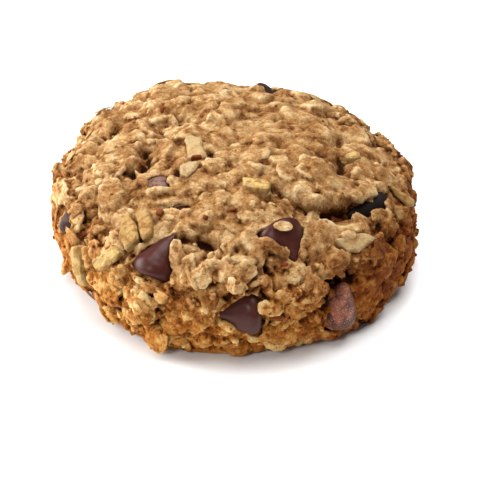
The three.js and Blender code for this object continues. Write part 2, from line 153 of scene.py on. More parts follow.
# For plates of the top and for chunks of the wall: rise of the middle, spread of that, greatest slope,
# and depth of the cracks between them
PLATE_RISE = (1.0, 1.1)
PLATE_STEP = (0.45, 0.5)
PLATE_SLOPE = (0.15, 0.2)
PLATE_CRACK = (1.0, 1.1)
# Noise at which the cracks begin to open and at which they are wide open, and the size of its features
CRACK_CLOSED = (0.0, -0.4)
CRACK_OPEN = (0.5, 0.3)
CRACK_STRETCH = 7
PLATE_EDGE = 0.45  # share of a plate over which its edge is rounded
PLATE_LEVEL = 0.6  # share of a plate's rise that the spaces between the plates lie lower
CALM = (0.5, 4)  # distances from a chip or a walnut piece between which plates come to their full height
PLATE_GAP = 0.13  # half width of a crack as a share of a plate
FINE_RELIEF = (0.08, 0.15)  # of the grain in the crust, on the top and on the wall
FINE_LAYERS = [(1, 1.2, 0), (0.6, 0.65, 30)]  # share, size and offset of its noises
FINE_SMOOTHING = 4  # how often a copy is smoothed that gives the directions of this relief
BUMPS = (0.3, 0.35)  # rounded bumps with creases between them, on the top and on the wall
SOFT_SIDE = (-12, 14)  # from left to right, where the top gets smoother
SOFTER = (0.4, 0.55)  # shares of the plates and of those bumps that are missing there
BUMP_SIZES = [(1, 3.4), (0.8, 1.7), (0.55, 0.9)]  # shares of the bumps, and sizes
BUMP_OFFSET = 60
BUMP_LEVEL = 0.2  # share of a bump that lies below the crust
# Heights between which each relief comes to its full height above the flat underside
PLATE_FOOT = (0.5, 4)
SINK_FOOT = (0.3, 3)
FINE_FOOT = (0.2, 2.5)
GOLDEN_HEIGHT = (8, 28)  # heights between which the wall's gold ends
GOLDEN_LAYERS = [(3, 6, 90)]  # and the unevenness of them
RIGHT_SHADE_SIDE = (0.45, 1.0)  # outward share to the right between which the wall gets painted shade, darker and browner
RIGHT_SHADE_FRONT = 0.3  # share of the front in that

# Cracks and pits that the photograph shows, in its pixels
Crack = namedtuple("Crack", "line width depth")
HOLLOW_WARP = (1.5, 0.5)  # size and reach of the bends in their edges
MARK_STEP = 2  # pixels between the points that mark a crack
CRACKS = {
    "rim_crack": Crack([(297, 206), (312, 211), (330, 214), (348, 213), (362, 208)], 1.2, 3.0),
    "left_crack": Crack([(147, 152), (146, 164), (136, 171), (127, 175)], 1.0, 2.2),
    "far_left_crack": Crack([(98, 142), (106, 134), (114, 124)], 1.0, 1.9),
    "back_left_crack": Crack([(163, 120), (177, 131), (182, 121)], 0.9, 1.8),
    "back_crack": Crack([(232, 98), (246, 93), (254, 88)], 0.8, 1.8),
    "back_right_crack": Crack([(330, 113), (340, 120), (352, 122)], 1.0, 2.0),
    "right_crack": Crack([(341, 140), (343, 155), (342, 170)], 0.9, 1.8),
    "front_crack": Crack([(182, 238), (197, 240), (214, 250)], 1.0, 2.4),
    "middle_crack": Crack([(210, 150), (212, 160), (200, 164), (180, 165), (176, 172)], 0.9, 2.0),
    "walnut_crack": Crack([(255, 180), (280, 192), (285, 198), (304, 207)], 0.7, 1.2),
    "left_slit": Crack([(95, 278), (96, 290)], 0.5, 1.6),
    "chip_brow": Crack([(228, 303), (236, 298), (244, 292), (253, 287)], 1.9, 1.8),
    "chip_gap": Crack([(262, 286), (264, 300), (263, 316), (260, 330)], 0.8, 2.6),
    "bloomed_gap": Crack([(332, 306), (330, 294), (336, 281), (352, 279)], 1.6, 4.0),
    "wall_crack": Crack([(208, 268), (218, 273), (229, 277)], 1.0, 1.6),
    "low_crack": Crack([(140, 322), (147, 317), (156, 316)], 0.5, 1.4),
    "nut_groove": Crack([(131, 224), (136, 234), (141, 241)], 0.5, 1.6),
    "shaded_gap": Crack([(356, 208), (366, 210), (380, 206), (388, 198)], 1.2, 3.0),
}
Pit = namedtuple("Pit", "pixel radius depth")
PITS = [
    Pit((341, 292), 1.3, 2.6), Pit((343, 299), 1.2, 2.0), Pit((263, 270), 0.94, 3.2),
    Pit((266, 289), 0.86, 3.1), Pit((275, 267), 0.5, 2), Pit((236, 250), 0.65, 2),
    Pit((155, 239), 0.45, 1.6), Pit((87, 219), 0.45, 1.8), Pit((75, 219), 0.45, 1.6),
    Pit((103, 233), 0.5, 1.6), Pit((98, 242), 0.72, 2.2), Pit((93, 250), 0.45, 1.4),
    Pit((289, 176), 0.45, 1.3), Pit((301, 187), 0.45, 1.3), Pit((207, 101), 0.65, 1.6),
    Pit((128, 271), 0.5, 1.8), Pit((199, 322), 0.58, 2.2), Pit((186, 333), 0.45, 1.6),
    Pit((315, 262), 0.45, 1.6), Pit((323, 266), 0.58, 2), Pit((322, 320), 0.58, 2.2),
    Pit((221, 273), 0.86, 2), Pit((140, 237), 0.45, 1.4), Pit((186, 310), 0.5, 1.6),
    Pit((300, 300), 0.45, 1.4), Pit((372, 262), 0.72, 2), Pit((223, 307), 1.3, 1.6),
    Pit((331, 322), 0.86, 1.8), Pit((388, 243), 0.65, 1.8), Pit((362, 284), 0.72, 2),
    Pit((385, 275), 0.58, 1.8), Pit((303, 325), 0.45, 1.4),
]

# Dough that laps over chips in the photograph: its pixel, its half sizes along, across and out, and its
# turn in degrees
Cover = namedtuple("Cover", "pixel half turn")
COVER_TINTS = (0.25, 0.6)
COVER_UNEVEN = 0.25
COVERS = [
    Cover((178, 258), (1.8, 3.4, 1.3), 10), Cover((146, 284), (3.4, 0.9, 0.9), -18),
    Cover((76, 214), (2.0, 2.8, 1.1), 20), Cover((72, 234), (1.5, 1.3, 0.9), 0),
    Cover((78, 226), (1.6, 1.4, 0.9), 0), Cover((172, 201), (3.0, 1.2, 0.7), 3),
    Cover((170, 213), (2.6, 1.2, 0.7), 0), Cover((186, 212), (1.2, 1.0, 0.7), 0),
    Cover((357, 196), (2.2, 1.6, 1.5), -10), Cover((367, 191), (2.4, 2.2, 1.7), 10),
    Cover((379, 188), (2.2, 1.8, 1.6), 25), Cover((362, 220), (2.6, 1.4, 0.5), -10),
    Cover((379, 215), (2.8, 1.6, 0.5), 25), Cover((390, 206), (1.6, 1.8, 0.6), 30),
    Cover((270, 246), (2.8, 1.6, 1.1), -40), Cover((283, 252), (1.6, 1.2, 1.0), -40),
    Cover((304, 254), (0.9, 1.4, 0.9), 0), Cover((112, 300), (2.4, 1.6, 1.1), 0),
    Cover((112, 316), (1.8, 0.9, 0.8), 0), Cover((143, 182), (1.3, 1.2, 0.8), 0),
    Cover((349, 235), (1.9, 1.0, 0.6), 15), Cover((86, 258), (2.4, 0.9, 0.7), 80),
    Cover((257, 90), (1.6, 1.4, 1.2), 0), Cover((228, 327), (2.0, 0.9, 0.9), -10),
    Cover((159, 191), (2.6, 1.0, 0.8), -5), Cover((172, 180), (1.4, 1.4, 0.9), 0),
    Cover((117, 271), (1.6, 1.5, 0.8), 0),
]

# A dab of dough on the top of the rim's chip
DAB = Cover((283, 226), (2.1, 1.2, 0.25), 0)
DAB_CRUMPLE = (1.1, 0.35)  # size and reach of its unevenness
DAB_TINT = 0.85
# How raised the dab counts as, for the finish's painted light on raised edges
DAB_RISE = 0.02

# Bits of reddish nut skin that the photograph shows: pixel, half length, half width and turn
Skin = namedtuple("Skin", "pixel half turn")
SKINS = [
    Skin((84, 235), (1.4, 0.6), 10), Skin((277, 317), (1.8, 0.75), -10), Skin((160, 213), (0.9, 0.8), 40),
    Skin((162, 110), (0.5, 0.9), 0), Skin((337, 221), (1.9, 0.6), -8), Skin((285, 265), (0.7, 0.5), 20),
    Skin((232, 211), (0.9, 0.4), 30), Skin((205, 218), (0.7, 0.4), -30), Skin((196, 158), (1.2, 0.3), 15),
]
SKIN_THICKNESS = 0.65  # half of it, partly in the crust
SKIN_CRUMPLE = (0.8, 0.3)  # size and reach of its unevenness
# More of them at the back: how many, their half sizes, greatest tilt in radians, lowest height, and
# distances from the middle and from chips and walnut pieces
MORE_SKINS = 14
MORE_LONG = (0.5, 1.3)
MORE_WIDE = (0.3, 0.6)
MORE_THICKNESS = 0.2
MORE_TILT = 0.5
MORE_LOWEST = 2
MORE_BEHIND = 5
MORE_CLEAR = 2

# Thin oat flakes that lie on the crust
FLAKE_COUNT = 1200
FLAKE_SIDES = 10
FLAKE_RING = (0.62, 0.9)  # width and height of the ring round a flake's middle
FLAKE_HALF = (2.1, 1.4, 0.26)
FLAKE_SPREAD = 0.4  # by which those half sizes vary
FLAKE_UNEVEN = 0.25  # by which the outline does
FLAKE_CLEAR = 0.8  # half lengths from a chip or a walnut piece
FLAKE_SHARE = (0.12, 1.0)  # share of the places that get one, on the top and on the wall
FLAKE_FADE = (17, 24)  # heights between which they get fewer
FLAKE_TILT = 10  # degrees
FLAKE_SMOOTHING = 25  # how often a copy of the crust is smoothed that they lie along
FLAKE_CRINKLE = 0.06
FLAKE_LIFT = -0.12
FLAKE_TINTS = (0.35, 0.85)
# How raised the flakes count as, for the finish's painted light on raised edges
FLAKE_RISE = 0.05
FLAKE_SEED = 12

# Loose crumbs on the crust
CRUMB_COUNT = 3000
CRUMB_HALF = (0.25, 0.5)  # least and greatest half size
CRUMB_SPREAD = (0.7, 1.3)  # times that in each direction
CRUMB_UNEVEN = 0.3
CRUMB_SHARE = (0.12, 1)  # share of the places that get one, on the top and on the wall
CRUMB_CLEAR = 0.35  # distance from a chip or a walnut piece
CRUMB_TINTS = (0.25, 0.7)
# How raised the crumbs count as, for the finish's painted light on raised edges
CRUMB_RISE = 0.03
CRUMB_SEED = 5

# Unevenness of chips and walnut pieces: height, size and offset of each noise
CHIP_LAYERS = [(0.16, 3.2, 0), (0.05, 1.1, 20)]
WALNUT_LAYERS = [(0.32, 2.6, 0), (0.16, 1.3, 40), (0.07, 0.7, 20)]
WALNUT_BEVEL = 0.15
WALNUT_BEVEL_ANGLE = 25  # degrees
SMEAR = (0.0, 1.1)  # distances from the crust between which dough sticks to a walnut piece
SMEAR_LAYERS = [(0.4, 1.3, 90)]  # and the unevenness of them


def only(piece):
    """Makes a piece the one that operators act on."""
    bpy.ops.object.select_all(action="DESELECT")
    piece.select_set(True)
    bpy.context.view_layer.objects.active = piece


def applied(piece, kind, **settings):
    """Adds a modifier to a piece, sets it and applies it."""
    only(piece)
    bpy.ops.object.modifier_add(type=kind)
    modifier = piece.modifiers[-1]
    for name, value in settings.items():
        setattr(modifier, name, value)
    bpy.ops.object.modifier_apply(modifier=modifier.name)
    return piece


def shaded_smooth(piece):
    """A piece that is lit without its facets showing."""
    only(piece)
    bpy.ops.object.shade_smooth()
    return piece


def solids(names):
    """The CAD's solids with these names."""
    return [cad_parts[name] for name in names]


def copy_of(node, name):
    """A new piece with a CAD node's mesh, its loose triangles merged."""
    piece = bpy.data.objects.new(name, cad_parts[node].data.copy())
    piece.data.name = name
    piece.data.materials.clear()
    bpy.context.scene.collection.objects.link(piece)
    only(piece)
    bpy.ops.object.mode_set(mode="EDIT")
    bpy.ops.mesh.select_all(action="SELECT")
    bpy.ops.mesh.remove_doubles(threshold=MERGE_DISTANCE * MM)
    bpy.ops.object.mode_set(mode="OBJECT")
    return piece


def numbers(collection, name, width):
    """One property of all items of a mesh collection, as an array of rows."""
    flat = np.empty(len(collection) * width, np.int32 if name == "vertices" else np.float32)
    collection.foreach_get(name, flat)
    return flat.reshape(-1, width)


def points_of(piece):
    """A piece's points in millimetres."""
    return numbers(piece.data.vertices, "co", 3).astype(float) / MM


def move_points(piece, points):
    """Puts a piece's points at these places, in millimetres."""
    piece.data.vertices.foreach_set("co", (points * MM).astype(np.float32).ravel())
    piece.data.update()


def store(piece, name, values):
    """Keeps one number for each point of a piece, which its finish can read."""
    attribute = piece.data.attributes.new(name, "FLOAT", "POINT")
    attribute.data.foreach_set("value", values.astype(np.float32))


def triangles_of(piece):
    """A piece's points, and the point numbers of its triangles."""
    piece.data.calc_loop_triangles()
    return points_of(piece), numbers(piece.data.loop_triangles, "vertices", 3)


def joined(name, shape_points, shape_faces):
    """One mesh object of many shapes that share their faces: an array of shapes, points and coordinates."""
    count, per_shape = shape_points.shape[:2]
    starts = per_shape * np.arange(count)
    corners = (shape_faces[None] + starts[:, None, None]).reshape(-1, 3)
    mesh = bpy.data.meshes.new(name)
    mesh.vertices.add(count * per_shape)
    mesh.vertices.foreach_set("co", (shape_points * MM).astype(np.float32).ravel())
    mesh.loops.add(corners.size)
    mesh.loops.foreach_set("vertex_index", corners.astype(np.int32).ravel())
    mesh.polygons.add(len(corners))
    mesh.polygons.foreach_set("loop_start", np.arange(0, corners.size, 3, dtype=np.int32))
    mesh.update(calc_edges=True)
    piece = bpy.data.objects.new(name, mesh)
    bpy.context.scene.collection.objects.link(piece)
    return piece


def ease(low, high, values):
    """0 below low, 1 above high and smooth between."""
    share = np.clip((values - low) / (high - low), 0, 1)
    return share * share * (3 - 2 * share)


def between(pair, share):
    """The value that is a share of the way from the first of a pair to the second."""
    return pair[0] + (pair[1] - pair[0]) * share


def unit(vectors):
    """Vectors brought to a length of 1."""
    return vectors / np.maximum(np.linalg.norm(vectors, axis=-1, keepdims=True), 1e-9)


def outward(points):
    """Directions out of the cookie's smooth form, at points near its surface."""
    reach = np.maximum(np.hypot(points[:, 0], points[:, 1]), 1e-6)
    level = points[:, 2] - BELLY_HEIGHT
    crown = HEIGHT - BELLY_HEIGHT
    sideways = (reach / (WIDTH / 2)) ** (SHOULDER_POWER - 1) / (WIDTH / 2)
    upwards = (np.clip(level, 0, None) / crown) ** (SHOULDER_POWER - 1) / crown
    downwards = UNDERCUT * np.clip(-level / BELLY_HEIGHT, 0, 1) * sideways
    return unit(np.column_stack([points[:, :2] / reach[:, None] * sideways[:, None], upwards - downwards]))


def wall_share(out):
    """1 on the wall and 0 on the top, from outward directions."""
    return 1 - ease(*TOP_TURN, out[:, 2])


def soft_share(points, wall):
    """1 on the right of the top, where the crust is smoother, and 0 on the left of it and on the wall."""
    return (1 - wall) * ease(*SOFT_SIDE, points[:, 0])


def noise_at(points, size, offset=0):
    """Smooth noise from -1 to 1, with features of that size in millimetres."""
    shift = Vector((offset, offset, offset))
    return np.array([noise.noise(Vector(p) + shift) for p in points / size])


def layered(points, layers):
    """The sum of some noises, each with its height, size and offset."""
    return sum(height * noise_at(points, size, offset) for height, size, offset in layers)


def wander(points, warp, offset):
    """Smooth shifts of points, for the size of their features and their reach."""
    size, reach = warp
    return reach * np.column_stack([noise_at(points, size, offset * i) for i in range(3)])


def swing(rng, *shape):
    """Random numbers from -1 to 1."""
    return 2 * rng.random(shape) - 1


def make_camera():
    """The photograph's camera. Returns the eye's place and the picture's axes, in millimetres."""
    back = Vector((0, -math.cos(VIEW_ELEVATION), math.sin(VIEW_ELEVATION)))
    eye = Vector(VIEW_AIM) + VIEW_DISTANCE * back
    bpy.ops.object.camera_add(location=eye * MM)
    camera = bpy.context.object
    camera.rotation_euler = (-back).to_track_quat("-Z", "Y").to_euler()
    camera.data.sensor_width = SENSOR_WIDTH
    camera.data.lens = SENSOR_WIDTH * FOCAL_PIXELS / PHOTO_SIDE
    camera.data.clip_start, camera.data.clip_end = VIEW_CLIP
    bpy.context.scene.camera = camera
    return eye, Vector((1, 0, 0)), back.cross(Vector((1, 0, 0))), back


def photo_hit(view, surface, pixel):
    """Where a pixel's line of sight meets a surface."""
    eye, right, up, back = view
    aside = (pixel[0] - PHOTO_SIDE / 2) / FOCAL_PIXELS
    above = (PHOTO_SIDE / 2 - pixel[1]) / FOCAL_PIXELS
    return surface.ray_cast(eye, right * aside + up * above - back)[0]


def ball_shape(splits):
    """A unit ball of few faces: an icosahedron when splits is 1."""
    bpy.ops.mesh.primitive_ico_sphere_add(subdivisions=splits, radius=MM)
    return taken_shape(bpy.context.object)


def flake_shape():
    """A unit oat flake: a flattened ball with full cheeks."""
    bpy.ops.mesh.primitive_uv_sphere_add(segments=12, ring_count=6, radius=MM)
    points, faces = taken_shape(bpy.context.object)
    reach = np.linalg.norm(points[:, :2], axis=1)
    points[:, :2] *= np.where(reach > 0, reach ** FLAKE_FULLNESS / np.maximum(reach, 1e-6), 0)[:, None]
    return points, faces


def taken_shape(piece):
    """A piece's points and triangles, with the piece removed."""
    points, faces = triangles_of(piece)
    bpy.data.objects.remove(piece)
    return points, faces


def spread_over(piece, count, rng):
    """Points spread at random over a piece's surface."""
    points, faces = triangles_of(piece)
    a, b, c = (points[faces[:, i]] for i in range(3))
    areas = np.linalg.norm(np.cross(b - a, c - a), axis=1)
    picked = rng.choice(len(faces), count, p=areas / areas.sum())
    u, v = rng.random(count), rng.random(count)
    over = u + v > 1
    u[over], v[over] = 1 - u[over], 1 - v[over]
    return a[picked] + u[:, None] * (b - a)[picked] + v[:, None] * (c - a)[picked]


def turned(out, spin, tilt):
    """Three axes for each grain: along it, across it and out of the crust, after a spin and a tilt."""
    along = unit(np.cross(out, np.where(np.abs(out[:, 2:]) < 0.9, [0.0, 0.0, 1.0], [1.0, 0.0, 0.0])))
    across = np.cross(out, along)
    cos, sin = np.cos(spin)[:, None], np.sin(spin)[:, None]
    along, across = cos * along + sin * across, cos * across - sin * along
    cos, sin = np.cos(tilt)[:, None], np.sin(tilt)[:, None]
    return np.stack([along, cos * across + sin * out, cos * out - sin * across], axis=1)


def placed_at(middles, local, axes):
    """Points of some shapes, each turned to its axes and moved to its middle, and none below the floor."""
    placed = middles[:, None, :] + np.einsum("nvi,nij->nvj", local, axes)
    placed[:, :, 2] = np.maximum(placed[:, :, 2], LOWEST)
    return placed


def clear_of(surface, points):
    """Distance in millimetres from each point to a surface."""
    return np.array([surface.find_nearest(Vector(p))[3] for p in points])


def grain_fits(grain, middle, half, axes, insets, marks):
    """Which grains keep clear of the underside, of chips and walnut pieces, and of cracks and pits."""
    chips, walnuts = insets
    fits = middle[:, 2] > UNDERSIDE_MARGIN
    fits &= clear_of(chips, middle) > (1 - grain.overlap) * half[:, :2].mean(axis=1)
    fits &= clear_of(walnuts, middle) > (1 - WALNUT_OVERLAP) * half[:, 1]
    for side in (-FOOTPRINT, 0, FOOTPRINT):
        for axis in (0, 1):
            spots = middle + side * half[:, axis:axis + 1] * axes[:, axis]
            fits &= hollow_depths(marks, spots) < HOLLOW_CLEAR
    return fits


def grains_on(piece, kind, shape, insets, marks, rng):
    """Grains of one kind over the crust: their points, the shape's faces and a tint for each."""
    grain = GRAINS[kind]
    points = spread_over(piece, grain.count, rng)
    out = outward(points)
    wall = wall_share(out)
    size = 1 + grain.spread * swing(rng, grain.count, 3)
    size *= 1 + grain.spread * swing(rng, grain.count, 1)
    half = size * grain.half
    tilt = np.radians(between(grain.tilt, wall)) * swing(rng, grain.count)
    axes = turned(out, rng.random(grain.count) * 2 * np.pi, tilt)
    lift = between(grain.lift, wall) + LIFT_SPREAD * wall * swing(rng, grain.count)
    middle = points + out * lift[:, None]
    kept = rng.random(grain.count) < between(grain.share, wall)
    kept &= grain_fits(grain, middle, half, axes, insets, marks)
    base, faces = shape
    uneven = 1 + grain.uneven * swing(rng, grain.count, len(base), 1)
    local = base[None] * uneven * half[:, None, :]
    if kind == "flake":
        local[:, :, 2] += bends(local, rng)
    placed = placed_at(middle, local, axes)
    return placed[kept], faces, between(GRAIN_TINTS[kind], rng.random(kept.sum()))


def placed_shape(view, surface, pixel, half, turn, base):
    """A shape on a surface at a pixel of the photograph, its length turned from the picture's right."""
    _, right, up, _ = view
    middle = photo_hit(view, surface, pixel)
    if middle is None:
        return None
    out = outward(np.array([middle]))[0]
    along = np.array(right * math.cos(math.radians(turn)) + up * math.sin(math.radians(turn)))
    along = unit(along - out * along.dot(out))
    axes = np.array([along, np.cross(out, along), out])
    return np.array(middle) + (base * half) @ axes


def covers_on(view, surface, base, rng):
    """Lumps of dough that lap over the chips where the photograph shows it."""
    shapes = [placed_shape(view, surface, c.pixel, c.half, c.turn, base) for c in COVERS]
    shapes = np.array([shape for shape in shapes if shape is not None])
    middles = shapes.mean(axis=1, keepdims=True)
    return middles + (shapes - middles) * (1 + COVER_UNEVEN * swing(rng, *shapes.shape[:2], 1))


def bends(local, rng):
    """How far each point of some flakes is lowered by the flake's curl and by the ridge along it."""
    curl = -FLAKE_CURL * rng.random((len(local), 1))
    crease = -FLAKE_CREASE * rng.random((len(local), 1))
    return curl * local[:, :, 0] ** 2 + crease * np.abs(local[:, :, 1])


def surface_of(pieces):
    """All triangles of some pieces, ready to be searched."""
    all_points, all_faces, start = [], [], 0
    for piece in pieces:
        points, faces = triangles_of(piece)
        all_points.append(points)
        all_faces.append(faces + start)
        start += len(points)
    return BVHTree.FromPolygons(np.concatenate(all_points).tolist(), np.concatenate(all_faces).tolist())


def smoothed(piece, repeats):
    """A piece's points and normals after smoothing, which leaves the piece itself alone."""
    copy = bpy.data.objects.new("smoothed", piece.data.copy())
    bpy.context.scene.collection.objects.link(copy)
    applied(copy, "SMOOTH", factor=0.5, iterations=repeats)
    points = points_of(copy)
    normals = numbers(copy.data.vertex_normals, "vector", 3).astype(float)
    bpy.data.objects.remove(copy)
    return points, normals


def hollow_marks(view, surface):
    """Points along the photograph's cracks and in its pits, each with a half width and a depth."""
    marks = []
    for crack in CRACKS.values():
        for start, end in zip(crack.line, crack.line[1:]):
            steps = max(2, int(math.dist(start, end) / MARK_STEP))
            for i in range(steps + 1):
                hit = photo_hit(view, surface, Vector(start).lerp(Vector(end), i / steps))
                if hit:
                    marks.append((*hit, crack.width, crack.depth))
    for pit in PITS:
        hit = photo_hit(view, surface, pit.pixel)
        if hit:
            marks.append((*hit, pit.radius, pit.depth))
    return np.array(marks)


def hollow_depths(marks, points):
    """How deep the cracks and pits are at each point."""
    depths = np.zeros(len(points))
    bent = points + wander(points, HOLLOW_WARP, 7)
    for mark in marks:
        across = np.linalg.norm(bent - mark[:3], axis=1) / mark[3]
        depths = np.maximum(depths, mark[4] * np.exp(-across ** 2))
    return depths


def spaced(points, allowed, count, apart, middles, rng):
    """Adds places that keep apart from one another to a list, picked at random from some points."""
    wanted = len(middles) + count
    for place in points[rng.permutation(np.nonzero(allowed)[0])]:
        if len(middles) >= wanted:
            break
        if np.linalg.norm(np.array(middles) - place, axis=1).min() > apart:
            middles.append(place)


def plate_seeds(points, top, view, surface, rng):
    """Middles and half widths of the shown plates, of more at the back and of the wall's chunks."""
    shown = [(photo_hit(view, surface, (x, y)), PIXEL_SIZE * half) for x, y, half in PLATES]
    middles = [np.array(middle) for middle, _ in shown if middle]
    halves = [half for middle, half in shown if middle]
    spaced(points, top > 0.5, BACK_PLATES, PLATE_APART * PLATE_HALF, middles, rng)
    halves += [PLATE_HALF] * (len(middles) - len(halves))
    spaced(points, top <= 0.5, CHUNK_COUNT, CHUNK_APART * CHUNK_HALF, middles, rng)
    halves += [CHUNK_HALF] * (len(middles) - len(halves))
    return np.array(middles), np.array(halves)


def nearest_plates(points, middles, halves):
    """The plate that each point belongs to, and how much further away the next one is, in half widths."""
    nearest = np.full(len(points), np.inf)
    second = nearest.copy()
    owner = np.zeros(len(points), int)
    for i, (middle, half) in enumerate(zip(middles, halves)):
        away = np.linalg.norm(points - middle, axis=1) / half
        closer = away < nearest
        second = np.where(closer, nearest, np.minimum(second, away))
        owner[closer] = i
        nearest = np.minimum(nearest, away)
    return owner, second - nearest


def plate_relief(points, top, view, surface, rng):
    """How far the plates of the top and the chunks of the wall stand out, less the cracks between them."""
    middles, halves = plate_seeds(points, top, view, surface, rng)
    bent = points + wander(points, PLATE_WARP, 10)
    bent += wander(points, PLATE_FRAY, 15)
    owner, edge = nearest_plates(bent, middles, halves)
    wall = 1 - top
    inside = ease(0, PLATE_EDGE, edge)
    slopes = swing(rng, len(middles), 3)[owner]
    step = between(PLATE_STEP, wall) * swing(rng, len(middles))[owner]
    step += between(PLATE_SLOPE, wall) * np.einsum("ij,ij->i", slopes, bent - middles[owner])
    closed, opened = between(CRACK_CLOSED, wall), between(CRACK_OPEN, wall)
    broken = ease(closed, opened, noise_at(points, CRACK_STRETCH, 50))
    crack = between(PLATE_CRACK, wall) * broken * np.exp(-(edge / PLATE_GAP) ** 2)
    return between(PLATE_RISE, wall) * (inside - PLATE_LEVEL) + step * inside - crack


def make_base(view, insets):
    """The dough's solid with its beds, dents and plates, and the marks of its cracks and pits."""
    base = copy_of("dough", "cookie_dough")
    join_to(base, [walnut_bed(name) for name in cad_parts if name.startswith("walnut")])
    applied(base, "REMESH", mode="VOXEL", voxel_size=BASE_VOXEL * MM)
    points = points_of(base)
    for dent in DENTS:
        away = np.linalg.norm(points - dent.middle, axis=1) / dent.radius
        points -= outward(points) * (dent.depth * np.exp(-away ** 2))[:, None]
    points[:, 2] = np.maximum(points[:, 2], 0)
    move_points(base, points)
    surface = surface_of([base])
    points = points_of(base)
    out = outward(points)
    top = 1 - wall_share(out)
    relief = plate_relief(points, top, view, surface, np.random.default_rng(PLATE_SEED))
    relief *= ease(*PLATE_FOOT, points[:, 2]) * (1 - SOFTER[0] * soft_share(points, 1 - top))
    calm = ease(*CALM, np.minimum(*(clear_of(solids, points) for solids in insets)))
    relief = np.where(relief > 0, calm * relief, relief)
    move_points(base, points + out * relief[:, None])
    return base, hollow_marks(view, surface)


def walnut_bed(node):
    """Dough that fills the pocket under a walnut piece."""
    bed = copy_of(node, "walnut_bed")
    points = points_of(bed)
    middle = points.mean(axis=0, keepdims=True)
    move_points(bed, middle + BED_SIZE * (points - middle) - BED_DEPTH * outward(middle))
    return bed


def join_to(piece, others):
    """Makes other pieces part of a piece."""
    only(piece)
    for other in others:
        other.select_set(True)
    bpy.ops.object.join()


def sink_base(base, marks):
    """Sets the crust between the grains back, and further in cracks and pits. Gives the depth of those."""
    points = points_of(base)
    out = outward(points)
    hollow = hollow_depths(marks, points)
    depths = between(SINK, wall_share(out)) + hollow
    move_points(base, points - out * (depths * ease(*SINK_FOOT, points[:, 2]))[:, None])
    return hollow


def grown_on(dough, marks, view, insets):
    """The grains of the crust and the dough that laps over chips, by kind."""
    rng = np.random.default_rng(GRAIN_SEED)
    shapes = {"flake": flake_shape(), "lump": ball_shape(LUMP_SPLITS), "crumb": ball_shape(CRUMB_SPLITS)}
    grown = {kind: grains_on(dough, kind, shape, insets, marks, rng) for kind, shape in shapes.items()}
    base, faces = shapes["lump"]
    covers = covers_on(view, surface_of(solids(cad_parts)), base, rng)
    grown["cover"] = covers, faces, between(COVER_TINTS, rng.random(len(covers)))
    return grown


def raise_fine(dough):
    """Gives the crust its grain and its small bumps."""
    points = points_of(dough)
    _, normals = smoothed(dough, FINE_SMOOTHING)
    wall = wall_share(outward(points))
    fine = between(FINE_RELIEF, wall) * layered(points, FINE_LAYERS)
    bumps = (1 - SOFTER[1] * soft_share(points, wall)) * between(BUMPS, wall)
    for share, size in BUMP_SIZES:
        fine += bumps * share * (np.abs(noise_at(points, size, BUMP_OFFSET)) - BUMP_LEVEL)
    move_points(dough, points + normals * (ease(*FINE_FOOT, points[:, 2]) * fine)[:, None])


def make_dough(view, insets):
    """The dough: its solid with oat flakes, lumps and crumbs grown into it, cracked and grained."""
    dough, marks = make_base(view, insets)
    grown = grown_on(dough, marks, view, insets)
    hollow = sink_base(dough, marks)
    tree, owners = grain_tree(grown, points_of(dough), hollow)
    join_to(dough, [joined(kind, points, faces) for kind, (points, faces, _) in grown.items()])
    applied(dough, "REMESH", mode="VOXEL", voxel_size=VOXEL * MM)
    applied(dough, "SMOOTH", factor=0.5, iterations=SMOOTHING)
    raise_fine(dough)
    mark_dough(dough, tree, owners)
    applied(dough, "DECIMATE", ratio=min(1, DOUGH_TRIANGLES / len(triangles_of(dough)[1])))
    return shaded_smooth(dough), marks


def grain_tree(grown, crust, hollow):
    """All points of the grains and of the crust, ready to be searched, and for each grain and each point of
    the crust its tint and the depth of the crack or pit there."""
    tree = kdtree.KDTree(len(crust) + sum(len(points) * len(points[0]) for points, _, _ in grown.values()))
    owners = []
    for points, _, tints in grown.values():
        for place, tint in zip(points, tints):
            for p in place:
                tree.insert(p, len(owners))
            owners.append((tint, 0))
    for p, depth in zip(crust, hollow):
        tree.insert(p, len(owners))
        owners.append((CRUST_TINT, depth))
    tree.balance()
    return tree, np.array(owners, float)


def mark_dough(dough, tree, owners):
    """Keeps what the dough's finish reads: how far each point stands out, and the grain it belongs to."""
    points = points_of(dough)
    found = [tree.find(p) for p in points]
    near = 1 - ease(*GRAIN_REACH, np.array([f[2] for f in found]))
    owner = owners[[f[1] for f in found]]
    near_points, near_normals = smoothed(dough, NEAR_SMOOTHING)
    broad_points, broad_normals = smoothed(dough, BROAD_SMOOTHING)
    # Heights over two smoothed copies, from which the finish paints shade in dips and light on raised edges
    store(dough, "rise", np.einsum("ij,ij->i", points - near_points, near_normals))
    store(dough, "broad_rise", np.einsum("ij,ij->i", points - broad_points, broad_normals))
    store(dough, "tint", CRUST_TINT + (owner[:, 0] - CRUST_TINT) * near)
    # Depth of cracks and pits, which the finish paints dark as painted shade
    store(dough, "hollow", owner[:, 1])
    store(dough, "wall", golden_share(points))
    # Painted shade on the wall's right side
    store(dough, "brown", right_shade_share(points))


def golden_share(points):
    """How golden the crust is: most low on the wall, and not at all on the top."""
    wall = wall_share(outward(points))
    return wall * (1 - ease(*GOLDEN_HEIGHT, points[:, 2] + layered(points, GOLDEN_LAYERS)))


def right_shade_share(points):
    """How much painted shade, darker and browner, the wall gets on its right side."""
    out = outward(points)
    return wall_share(out) * ease(*RIGHT_SHADE_SIDE, out[:, 0] - RIGHT_SHADE_FRONT * out[:, 1])


